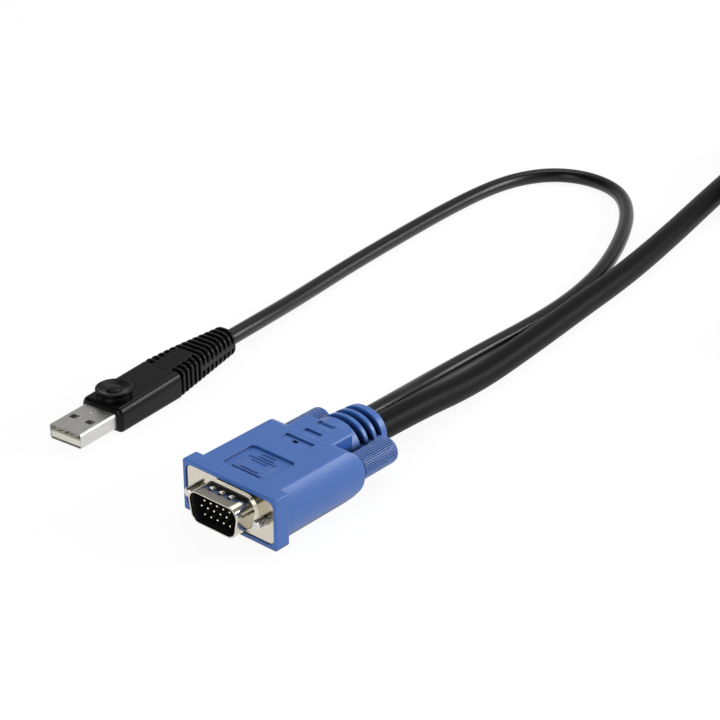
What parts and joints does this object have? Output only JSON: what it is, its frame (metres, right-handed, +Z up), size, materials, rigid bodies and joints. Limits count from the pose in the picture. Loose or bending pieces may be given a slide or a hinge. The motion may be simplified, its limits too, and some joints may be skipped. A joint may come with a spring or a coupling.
{
  "type": "kvm cable",
  "caption": "Two-in-one computer cable: a screened video plug with thumbscrews and a flat data plug on one blue moulded exit, a thick cable to a second video plug.",
  "frame": {"origin": "on the floor under the first video plug, 30.8 mm in front of the end of its strain relief", "axes": "+Y from the mating face back along the cable, +X to the right of someone who faces the pins, +Z up"},
  "size_m": [0.1716, 0.3804, 0.0176],
  "materials": {
    "blue_pvc": "moulded, soft satin",
    "black_pvc": "moulded, fine spark texture",
    "cable_pvc": "extruded, soft satin",
    "nickel_steel": "bright nickel plate on drawn steel",
    "data_steel": "nickel plate, satin",
    "black_insulator": "moulded, satin",
    "plated_contacts": "thin gold plate",
    "cream_plastic": "moulded, satin",
    "natural_polyethylene": "moulded, milky",
    "strap_nylon": "woven hook and loop"
  },
  "bodies": {
    "cable": {"video_hood": "blue_pvc", "video_front_shell": "nickel_steel", "video_insulator": "black_insulator", "video_pins": "plated_contacts", "video_inner_mould": "natural_polyethylene", "console_hood": "blue_pvc", "console_front_shell": "nickel_steel", "console_insulator": "black_insulator", "console_pins": "plated_contacts", "data_grip": "black_pvc", "data_shell": "data_steel", "data_tongue": "cream_plastic", "data_contacts": "plated_contacts", "data_cable": "cable_pvc", "main_cable": "cable_pvc", "main_cable_tail": "cable_pvc", "main_cable_coil": "cable_pvc", "coil_strap": "strap_nylon"},
    "video_thumbscrew_left": {"video_knob_left": "blue_pvc", "video_screw_left": "nickel_steel"},
    "video_thumbscrew_right": {"video_knob_right": "blue_pvc", "video_screw_right": "nickel_steel"},
    "console_thumbscrew_left": {"console_knob_left": "blue_pvc", "console_screw_left": "nickel_steel"},
    "console_thumbscrew_right": {"console_knob_right": "blue_pvc", "console_screw_right": "nickel_steel"}
  },
  "joints": [
    {"name": "video_thumbscrew_left_turn", "type": "hinge", "parent": "cable", "child": "video_thumbscrew_left", "pos_m": [-0.01249, 0.0108, 0.0078], "axis": [0, -1, 0], "continuous": true},
    {"name": "video_thumbscrew_right_turn", "type": "hinge", "parent": "cable", "child": "video_thumbscrew_right", "pos_m": [0.01249, 0.0108, 0.0078], "axis": [0, -1, 0], "continuous": true},
    {"name": "console_thumbscrew_left_turn", "type": "hinge", "parent": "cable", "child": "console_thumbscrew_left", "pos_m": [0.05151, 0.199, 0.0078], "axis": [0, -1, 0], "continuous": true},
    {"name": "console_thumbscrew_right_turn", "type": "hinge", "parent": "cable", "child": "console_thumbscrew_right", "pos_m": [0.07649, 0.199, 0.0078], "axis": [0, -1, 0], "continuous": true}
  ]
}
